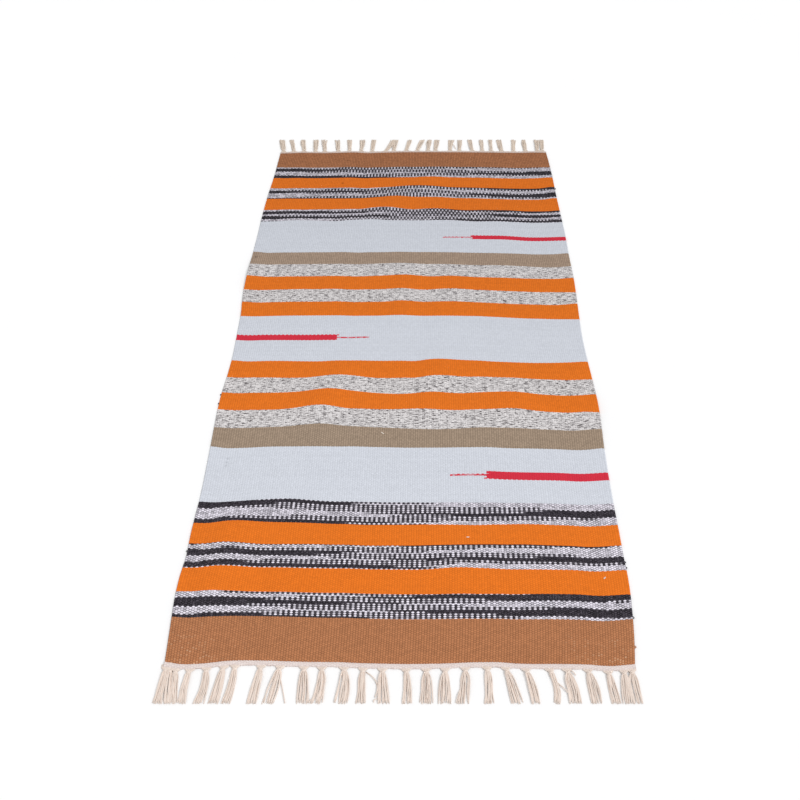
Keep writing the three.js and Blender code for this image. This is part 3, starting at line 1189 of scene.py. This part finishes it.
@dataclass(frozen=True)
class FloorPaint:
    """The floor's finish: plain pale paint with a faint mottle, given as lumps to a metre."""

    light: Colour = paint(248, 248, 248)
    dark: Colour = paint(245, 245, 246)
    mottle: float = 3.0
    roughness: float = 0.8

    def make(self) -> bpy.types.Material:
        """Builds the material on Object coordinates."""
        graph = Graph("floor_paint")
        x, y, _ = graph.place()
        mottle = graph.noise(x * self.mottle, y * self.mottle)
        return graph.matt(graph.mix(mottle, self.light, self.dark), self.roughness)


# --- Pieces ---------------------------------------------------------------------------------------------


@dataclass
class StripedCloth:
    """The striped cloth: one closed sheet with a rib over each warp."""

    plan: ClothPlan
    samples_per_warp: int = 4
    rows: int = 104
    rib_rise: float = 0.3 * MM
    pucker_rise: float = 0.25 * MM
    pucker_lengths: Sequence[float] = tuple(np.linspace(60, 160, 9) * MM)
    edge_radius: float = 1.5 * MM
    edge_rows: Sequence[float] = (0, 0.6 * MM, 1.5 * MM)
    wave_fade: float = 0.03
    seed: int = 11
    piece: bpy.types.Object | None = None

    def puckers(self, x: Array, y: Array) -> Array:
        """Slight unevenness: a sum of cosines with set lengths and seeded directions."""
        chance = np.random.default_rng(self.seed)
        height = np.zeros_like(x)
        for length in self.pucker_lengths:
            angle, phase = chance.uniform(0, np.pi), chance.uniform(0, 2 * np.pi)
            height += np.cos(2 * np.pi * (x * np.cos(angle) + y * np.sin(angle)) / length + phase)
        return height / math.sqrt(len(self.pucker_lengths)) * self.pucker_rise

    def weft_shift(self, s: Array, t: Array) -> Array:
        """How far the weft bows along +Y: a bell for each wave, fading out at the two ends."""
        shift = np.zeros_like(s)
        for bow in WEFT_WAVES:
            across = (s * CLOTH_WIDTH - bow.across * MM) / (bow.half_width * MM)
            along = (t * CLOTH_LENGTH - bow.along * MM) / (bow.half_length * MM)
            shift += bow.shift * MM * np.exp(-(across**2 + along**2) / 2)
        return shift * np.clip(np.minimum(t, 1 - t) / self.wave_fade, 0, 1)

    def faces_of(self, threads: Array, t: Array) -> tuple[Array, Array]:
        """The cloth's upper and lower face over the same points in plan.

        Both faces leave mid-thickness at the edges by a quarter round. The upper one carries a rib over
        each warp, the cosine of one turn for each warp, and the puckers.

        Args:
            threads: The share of the warps that lie to the left.
            t: From 0 at the near end to 1 at the far one.

        Returns:
            Two arrays of points.
        """
        s = self.plan.lay_warps(threads)
        x, y = self.plan.place(s, t)
        edge = np.minimum(np.minimum(s, 1 - s) * CLOTH_WIDTH, np.minimum(t, 1 - t) * CLOTH_LENGTH)
        round_off = np.sqrt(1 - (1 - np.clip(edge / self.edge_radius, 0, 1)) ** 2)
        middle = self.plan.lift(x, y) + self.plan.thickness / 2
        relief = self.puckers(x, y) - wave(threads * WARPS) * self.rib_rise / 2
        top = middle + (self.plan.thickness / 2 + relief) * round_off
        low = middle - self.plan.thickness / 2 * round_off
        return np.stack([x, y, top], -1), np.stack([x, y, low], -1)

    def shell(self) -> Shell:
        """The closed sheet as arrays: a fine upper face, a coarser lower one, and fans that join them."""
        ends = np.array(self.edge_rows) / CLOTH_LENGTH
        t_rows = np.concatenate([ends, np.linspace(0, 1, self.rows + 2)[1:-1], 1 - ends[::-1]])
        count = WARPS * self.samples_per_warp + 1
        half = self.samples_per_warp // 2
        whole = np.arange(self.samples_per_warp, count - 1, self.samples_per_warp)
        kept = np.concatenate([[0, half], whole, [count - 1 - half, count - 1]])
        threads, t = np.meshgrid(np.linspace(0, 1, count), t_rows)
        top, low = self.faces_of(threads, t)
        shift = self.weft_shift(self.plan.lay_warps(threads), t)
        uv = np.stack([threads, t - shift / CLOTH_LENGTH], -1)
        upper = numbered(top)
        inner = (slice(1, -1), kept[1:-1])
        lower = upper[:, kept].copy()
        lower[1:-1, 1:-1] = t.size + numbered(low[inner])
        near, far = (self.fan(upper[edge], lower[row], kept) for edge, row in ((0, 1), (-1, -2)))
        return Shell(
            points=np.concatenate([top.reshape(-1, 3), low[inner].reshape(-1, 3)]),
            faces=[
                np.concatenate([grid_quads(upper), grid_quads(lower[1:-1])[:, ::-1]]),
                np.concatenate([near, far[:, ::-1]]),
            ],
            uv=np.concatenate([uv.reshape(-1, 2), uv[inner].reshape(-1, 2)]),
        )

    def fan(self, fine: Array, coarse: Array, kept: Array) -> Array:
        """Triangles between a fine row of points and a coarse one.

        Each fine segment goes to the nearest coarse point, and each coarse segment to the fine point half
        way between its ends.

        Args:
            fine: Point numbers of the fine row.
            coarse: Point numbers of the coarse row.
            kept: Which fine points the coarse ones lie beside.

        Returns:
            Triangles, facing outwards at the near end.
        """
        middles = (kept[1:] + kept[:-1]) // 2
        owner = coarse[np.searchsorted(middles, np.arange(len(fine) - 1), side="right")]
        fine_side = np.stack([fine[1:], fine[:-1], owner], -1)
        return np.concatenate([fine_side, np.stack([fine[middles], coarse[:-1], coarse[1:]], -1)])

    def build(self) -> bpy.types.Object:
        """Makes the piece in place of its solid."""
        self.piece = make_piece("striped_cloth", self.shell(), StripedWeave().make())
        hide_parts("rug")
        return self.piece


@dataclass
class EndPart:
    """A part that closes one end of the cloth."""

    plan: ClothPlan
    end: int

    @property
    def name(self) -> str:
        """The end's name."""
        return "near" if self.end < 0 else "far"

    def put(self, kind: str, shell: Shell, finish: UndyedWeave | PliedCotton) -> bpy.types.Object:
        """Makes the piece in place of its part of the fringe solid."""
        piece = make_piece(f"{kind}_{self.name}", shell, finish.make())
        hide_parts(f"fringe_{self.name}")
        return piece


@dataclass
class EndBand(EndPart):
    """The undyed band that closes one end of the cloth."""

    around: int = 14
    samples_per_warp: int = 3
    squareness: float = 0.6
    tuck: float = 0.7 * MM
    tooth: float = 0.75 * MM
    corner: float = 2.4 * MM
    corner_share: float = 0.025
    lump_rise: float = 0.35 * MM
    lump_lengths: Sequence[float] = (9 * MM, 14 * MM, 23 * MM, 37 * MM)
    warp_swell: float = 0.05
    seed: int = 5

    def shell(self) -> Shell:
        """The band as arrays.

        Its section is a rounded oblong, the cosine and sine of an angle each raised to the same power. It
        is carried along the cloth's edge, over which it is tucked with a tooth on each warp, and further by
        a bell curve at the near left corner. It swells over each warp and in lumps of seeded cosines.
        """
        s = np.linspace(0, 1, WARPS * self.samples_per_warp + 1)
        x, y = self.plan.place(s, np.full_like(s, max(self.end, 0)))
        chance = np.random.default_rng(self.seed + self.end)
        lumps = sum(
            np.cos(2 * np.pi * x / length + chance.uniform(0, 2 * np.pi)) for length in self.lump_lengths
        )
        warps = wave(s * WARPS)
        swell = 1 + self.warp_swell * warps + lumps * self.lump_rise / self.plan.band_width
        angle = round_angles(self.around)
        out, up = (
            np.sign(part) * np.abs(part) ** self.squareness for part in (np.cos(angle), np.sin(angle))
        )
        tuck = self.tuck / 2
        half_width = self.plan.band_width / 2 + self.plan.gap + tuck
        half_rise = self.plan.band_thickness / 2
        middle = (y + self.end * (half_width - 2 * tuck))[:, None]
        corner = self.corner * np.exp(-((s / self.corner_share) ** 2)) * (self.end < 0)
        teeth = 1 + (self.tooth * warps + corner)[:, None] / half_width
        py = middle + self.end * out * half_width * np.where(out > 0, swell[:, None], teeth)
        pz = half_rise + up * half_rise * np.where(up > 0, swell[:, None], 1)
        points = np.stack(np.broadcast_arrays(x[:, None], py, pz), -1)
        index = numbered(points)
        quads = grid_quads(wrapped(index, 1))
        caps = np.concatenate([cap(index[0])[:, ::-1], cap(index[-1])])
        if self.end > 0:
            quads, caps = quads[:, ::-1], caps[:, ::-1]
        reach = self.end * (out * half_width + half_width - 2 * tuck) / CLOTH_LENGTH + max(self.end, 0)
        uv = np.stack(np.broadcast_arrays(s[:, None], reach[None]), -1).reshape(-1, 2)
        return Shell(points=points.reshape(-1, 3), faces=[quads, caps], uv=uv)

    def build(self) -> bpy.types.Object:
        """Makes the band."""
        # The far band is the same undyed cotton, darker by painted shade at the far end.
        far_painted_shade_weave = UndyedWeave("painted_shade_undyed_weave", paint(208, 192, 184), paint(150, 128, 118))
        return self.put("end_band", self.shell(), UndyedWeave() if self.end < 0 else far_painted_shade_weave)


@dataclass
class KnottedFringe(EndPart):
    """The tassels along one end: warps drawn together, knotted, left loose and trimmed in a line.

    A strand's rings lie at ring_places, counted in stations, and those between the neck's two places are
    darker by painted shade where the strands are gathered. Spreads of random numbers are named for what
    they make uneven.
    """

    tassels: Sequence[Tassel]
    loose: Sequence[Loose]
    strands: int = 14
    layers: int = 3
    sides: int = 5
    strand_radius: float = 0.92 * MM
    ring_places: Sequence[float] = (0, 1, 2, 2.6, 3.3, 4, 4.6, 5.1, 5.5, 6, 6.35, 6.7, 7)
    rank_spread: float = 0.16
    widest_rank: float = 1.05
    shortest: float = 0.955
    ply_half_turns: float = 9.0
    ply_start: float = 6.0
    tip_taper: float = 0.6
    strand_tone: float = 0.42
    tone_spread: float = 0.11
    neck: tuple[float, float] = (1.5, 4.3)
    neck_painted_shade: float = 0.12
    loose_rings: int = 7
    loose_share: float = 0.8
    loose_low: float = 1.0 * MM
    loose_hump: float = 1.6 * MM
    loose_arc: float = 0.85
    loose_tones: tuple[float, float] = (0.3, 0.6)
    wrap_widths: Sequence[float] = (1.0, 0.92)
    wrap_slants: tuple[float, float] = (0.25, 0.6)
    wrap_steps: int = 12
    wrap_radius: float = 0.95 * MM
    wrap_pitch: float = 1.7 * MM
    wrap_unevenness: float = 0.12
    wrap_lift: float = 1.12
    wrap_tone: float = 0.3
    wrap_tone_spread: float = 0.1
    knot_out: float = 6.2 * MM
    knot_half_width: float = 2.6 * MM
    knot_half_rise: float = 1.5 * MM
    seed: int = 23

    def strand_shell(self, chance: np.random.Generator, tassel: Tassel) -> Shell:
        """A tassel's strands.

        Each strand's line is smooth through the stations, of which the last ones are free: there the
        strands spread out side by side in layers, with a seeded sway. The tassel's own line leans evenly,
        and bulges by a parabola. The tube round a strand is a two-lobed ring that turns along the line, as
        the ply does.

        Args:
            chance: Where the unevenness comes from.
            tassel: The tassel.

        Returns:
            The strands as arrays.
        """
        count = self.strands
        edge = self.plan.band_edge(tassel.across * MM, self.end)
        length = self.plan.trim_line - abs(edge)
        out, share, gathered, spread, height, rise, sway = np.array(STATIONS, float).T[..., None]
        rank = np.linspace(-1, 1, count)
        uneven = rank + chance.normal(0, self.rank_spread, count)
        mixed = np.clip(uneven, -self.widest_rank, self.widest_rank)
        outs = np.repeat(out * MM + share * length, count, 1)
        outs[-1] *= chance.uniform(self.shortest, 1.0, count)
        half_spread = tassel.spread / 2 * MM - self.strand_radius
        across = rank * (gathered * MM) + mixed * (spread * half_spread)
        free = share[:, 0] > 0
        across[free] += chance.normal(0, 1, (free.sum(), count)) * sway[free] * MM
        part = np.clip(outs / length, 0, 1)
        centre = tassel.across + tassel.lean * part + tassel.bulge * bulge(part)
        layer = chance.permutation(count) % self.layers
        keys = np.stack([centre * MM + across, outs, (height + rise * layer) * MM], -1)
        at = np.array(self.ring_places)
        lines = smooth_line(np.arange(float(len(STATIONS))), keys, at)
        lines[..., 2] = np.maximum(lines[..., 2], self.strand_radius)
        lines[..., 1] = edge + self.end * lines[..., 1]
        turns = np.linspace(0, 1, len(at)) * self.ply_half_turns * np.pi
        turns = turns + chance.uniform(0, self.ply_start, (count, 1))
        taper = np.ones(len(at))
        taper[-1] = self.tip_taper
        shell = sweep(lines.transpose(1, 0, 2), self.strand_radius * taper, self.sides, turns)
        own = np.clip(chance.normal(self.strand_tone, self.tone_spread, count), 0, 1)
        # Painted shade on the rings of the gathered neck.
        neck = np.where((at > self.neck[0]) & (at < self.neck[1]), self.neck_painted_shade, 0.0)
        shell.values["tone"] = np.repeat((own[:, None] + neck).ravel(), self.sides)
        return shell

    def loose_shell(self, chance: np.random.Generator, strand: Loose) -> Shell:
        """One stray strand: a parabola between its ends, lying on what is under it and down at its tip."""
        part = np.linspace(0, 1, self.loose_rings)
        x = strand.start_across + (strand.stop_across - strand.start_across) * part
        y = strand.start_along + (strand.stop_along - strand.start_along) * part
        rise = self.loose_low + self.loose_hump * np.sin(np.pi * part * self.loose_arc)
        x = x + strand.bow * bulge(part)
        line = np.stack([x * MM, self.end * np.abs(y) * MM, rise], -1)
        radius = self.strand_radius * self.loose_share
        return tubes(line[None], radius, self.sides, chance.uniform(*self.loose_tones))

    def knot_shell(self, chance: np.random.Generator, tassel: Tassel) -> Shell:
        """A tassel's knot: wraps round the gathered strands.

        Each wrap is a ring tube: an ellipse across the tassel, and a circle about each of its points, set
        at a seeded slant.
        """
        order = np.arange(len(self.wrap_widths))[:, None, None]
        theta = round_angles(self.wrap_steps)[:, None]
        phi = round_angles(self.sides)
        slant = chance.uniform(*self.wrap_slants, order.shape) * np.where(order % 2, -1, 1)
        wide = self.knot_half_width * np.array(self.wrap_widths)[:, None, None]
        radius = self.wrap_radius * (1 + self.wrap_unevenness * np.cos(3 * theta + order))
        across = (wide + radius * np.cos(phi)) * np.cos(theta)
        rise = (self.knot_half_rise + radius * np.cos(phi)) * np.sin(theta)
        out = self.knot_out + (order - 0.5) * self.wrap_pitch + radius * np.sin(phi) + slant * across * 0.5
        edge = self.plan.band_edge(tassel.across * MM, self.end)
        part = self.knot_out / (self.plan.trim_line - abs(edge))
        x = (tassel.across + tassel.lean * part + tassel.bulge * 4 * part) * MM + across
        z = self.knot_half_rise + self.wrap_radius * self.wrap_lift + rise
        points = np.stack(np.broadcast_arrays(x, edge + self.end * out, z), -1)
        index = wrapped(wrapped(numbered(points), 1), 2)
        quads = np.concatenate([grid_quads(ring)[:, :: -self.end] for ring in index])
        flat = points.reshape(-1, 3)
        tone = self.wrap_tone + chance.uniform(-self.wrap_tone_spread, self.wrap_tone_spread)
        values = {"tone": np.full(len(flat), tone)}
        return Shell(points=flat, faces=[quads, np.zeros((0, 3), int)], values=values)

    def build(self) -> bpy.types.Object:
        """Makes the tassels, each from its own seed, and the stray strands."""
        shells = []
        for number, tassel in enumerate(self.tassels):
            chance = np.random.default_rng([self.seed, number, self.end + 1])
            shells += [self.strand_shell(chance, tassel), self.knot_shell(chance, tassel)]
        chance = np.random.default_rng([self.seed, self.end + 1])
        shells += [self.loose_shell(chance, strand) for strand in self.loose]
        # The far tassels are the same cotton, darker by painted shade at the far end.
        far_painted_shade_cotton = PliedCotton("painted_shade_cotton", paint(228, 214, 200), paint(188, 172, 158))
        return self.put("tassels", join(shells), PliedCotton() if self.end < 0 else far_painted_shade_cotton)


def sweep(paths: Array, radii: Array, sides: int, turns: Array, lobes: float = 0.16) -> Shell:
    """Two-lobed tubes along several lines at once.

    A ring's point lies off the line by the radius, times 1 plus a share of the cosine of twice the angle
    from the ring's own turn, in the plane of a level side direction and the one square to it and the line.

    Args:
        paths: Lines by strand, ring and coordinate.
        radii: The radius at each ring.
        sides: Points in a ring.
        turns: How far each ring is turned, by strand and ring.
        lobes: How far the two lobes stand out, as a share of the radius.

    Returns:
        The closed tubes as arrays.
    """
    ahead = np.gradient(paths, axis=1)
    ahead /= np.linalg.norm(ahead, axis=-1, keepdims=True)
    side = np.cross(ahead, [0, 0, 1.0])
    side /= np.linalg.norm(side, axis=-1, keepdims=True)
    up = np.cross(side, ahead)
    angle = round_angles(sides)
    lobe = 1 + lobes * np.cos(2 * (angle - turns[..., None]))
    reach = (radii[None, :, None] * lobe)[..., None]
    points = paths[:, :, None] + reach * (
        np.cos(angle)[:, None] * side[:, :, None] + np.sin(angle)[:, None] * up[:, :, None]
    )
    index = numbered(points)
    quads = np.concatenate([grid_quads(strand)[:, ::-1] for strand in wrapped(index, 2)])
    caps = np.concatenate([cap(index[:, 0]), cap(index[:, -1])[:, ::-1]])
    return Shell(points=points.reshape(-1, 3), faces=[quads, caps])


def tubes(paths: Array, radius: float, sides: int, tone: float) -> Shell:
    """Plain tubes of one radius and one tone along several lines."""
    shell = sweep(paths, np.full(paths.shape[1], radius), sides, np.zeros(paths.shape[:2]))
    shell.values["tone"] = np.full(len(shell.points), tone)
    return shell


@dataclass
class LooseEnds:
    """What strays from the weave: loops at the selvedges, and lint."""

    plan: ClothPlan
    loop_radius: float = 0.6 * MM
    loop_height: float = 0.6
    loop_squash: float = 0.7
    fibre_radius: float = 0.75 * MM
    fibre_rise: float = 0.4 * MM
    rings: int = 8
    sides: int = 6
    tone: float = 0.4

    def loops(self, dark: bool) -> Shell:
        """The loops of one yarn: half circles that start and end just inside the selvedge."""
        angle = np.linspace(0, np.pi, self.rings)
        paths = []
        for loop in LOOPS:
            if loop.dark is dark:
                reach = loop.reach * MM
                x, y, low = self.plan.spot(max(loop.side.value, 0) * CLOTH_WIDTH, loop.along * MM)
                out = x + loop.side.value * (np.sin(angle) * reach - self.loop_radius)
                along = y + np.cos(angle) * reach * self.loop_squash
                rise = np.full_like(angle, low + self.plan.thickness * self.loop_height)
                paths.append(np.stack([out, along, rise], -1))
        return tubes(np.array(paths), self.loop_radius, self.sides, self.tone)

    def lint(self) -> Shell:
        """The lint: hooks, each a cubic across its own direction, lying on the cloth."""
        part = np.linspace(-1, 1, self.rings)
        paths = []
        for fibre in LINT:
            turn, half = math.radians(fibre.turn), fibre.length / 2 * MM
            along, aside = part * half, (part**3 - part) * half
            x, y, _ = self.plan.spot(fibre.across * MM, fibre.along * MM)
            x = x + along * math.cos(turn) - aside * math.sin(turn)
            y = y + along * math.sin(turn) + aside * math.cos(turn)
            rise = self.plan.lift(x, y) + self.plan.thickness + self.fibre_rise
            paths.append(np.stack([x, y, rise], -1))
        return tubes(np.array(paths), self.fibre_radius, self.sides, self.tone)

    def build(self) -> list[bpy.types.Object]:
        """Makes the three pieces."""
        dark = PliedCotton("dark_yarn", paint(70, 64, 70), paint(46, 42, 48))
        tan = PliedCotton("tan_yarn", paint(190, 130, 92), paint(150, 96, 62))
        pale = PliedCotton("lint", paint(236, 226, 214), paint(206, 190, 176))
        pieces = [
            make_piece("dark_loops", self.loops(True), dark.make()),
            make_piece("tan_loops", self.loops(False), tan.make()),
            make_piece("lint", self.lint(), pale.make()),
        ]
        return pieces


@dataclass
class Studio:
    """The floor, the light and the camera."""

    floor_half: float = 6.0
    floor_drop: float = 0.05 * MM
    camera_place: tuple[float, float, float] = (0.0435, -1.290, 1.182)
    camera_tilt: float = 43.4
    lens: float = 39.1
    sensor: float = 36.0
    shift: float = -0.03625
    sky: float = 0.79
    key_strength: float = 1.24
    key_place: tuple[float, float, float] = (1.9, -0.7, 2.4)
    key_angle: float = 22.0

    def lay_floor(self) -> None:
        """A wide flat floor, a hair under height 0, on which the rug lies."""
        half = self.floor_half
        corners = [(-half, -half), (half, -half), (half, half), (-half, half)]
        mesh = bpy.data.meshes.new("floor")
        mesh.from_pydata([(x, y, -self.floor_drop) for x, y in corners], [], [(0, 1, 2, 3)])
        mesh.materials.append(FloorPaint().make())
        floor = put_in_scene("floor", mesh)

    def light(self) -> None:
        """An even white sky, and one soft far lamp from the right."""
        world = bpy.data.worlds.new("studio_sky")
        world.use_nodes = True
        sky = world.node_tree.nodes["Background"]
        sky.inputs["Color"].default_value = (1, 1, 1, 1)
        sky.inputs["Strength"].default_value = self.sky
        bpy.context.scene.world = world
        lamp = bpy.data.lights.new("key", "SUN")
        lamp.angle = math.radians(self.key_angle)
        lamp.energy = self.key_strength
        key = put_in_scene("key", lamp)
        key.location = self.key_place
        key.rotation_euler = (-key.location).to_track_quat("-Z", "Y").to_euler()

    def set_camera(self) -> None:
        """A camera that looks down along the rug from its near end."""
        data = bpy.data.cameras.new("camera")
        data.lens = self.lens
        data.sensor_width = self.sensor
        data.shift_x = self.shift
        camera = put_in_scene("camera", data)
        camera.location = self.camera_place
        camera.rotation_euler = (math.radians(self.camera_tilt), 0, 0)
        bpy.context.scene.camera = camera
        bpy.context.scene.view_settings.view_transform = "Standard"


def main() -> None:
    """Builds the rug round its frame."""
    logging.basicConfig(level=logging.INFO, format="%(message)s")
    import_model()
    studio = Studio()
    studio.set_camera()
    studio.lay_floor()
    studio.light()
    plan = ClothPlan()
    cloth = StripedCloth(plan)
    cloth.build()
    trims = []
    for end, tassels, loose in ((-1, NEAR_TASSELS, NEAR_LOOSE), (1, FAR_TASSELS, FAR_LOOSE)):
        trims += [EndBand(plan, end).build(), KnottedFringe(plan, end, tassels, loose).build()]
    trims += LooseEnds(plan).build()


if __name__ == "__main__":
    main()
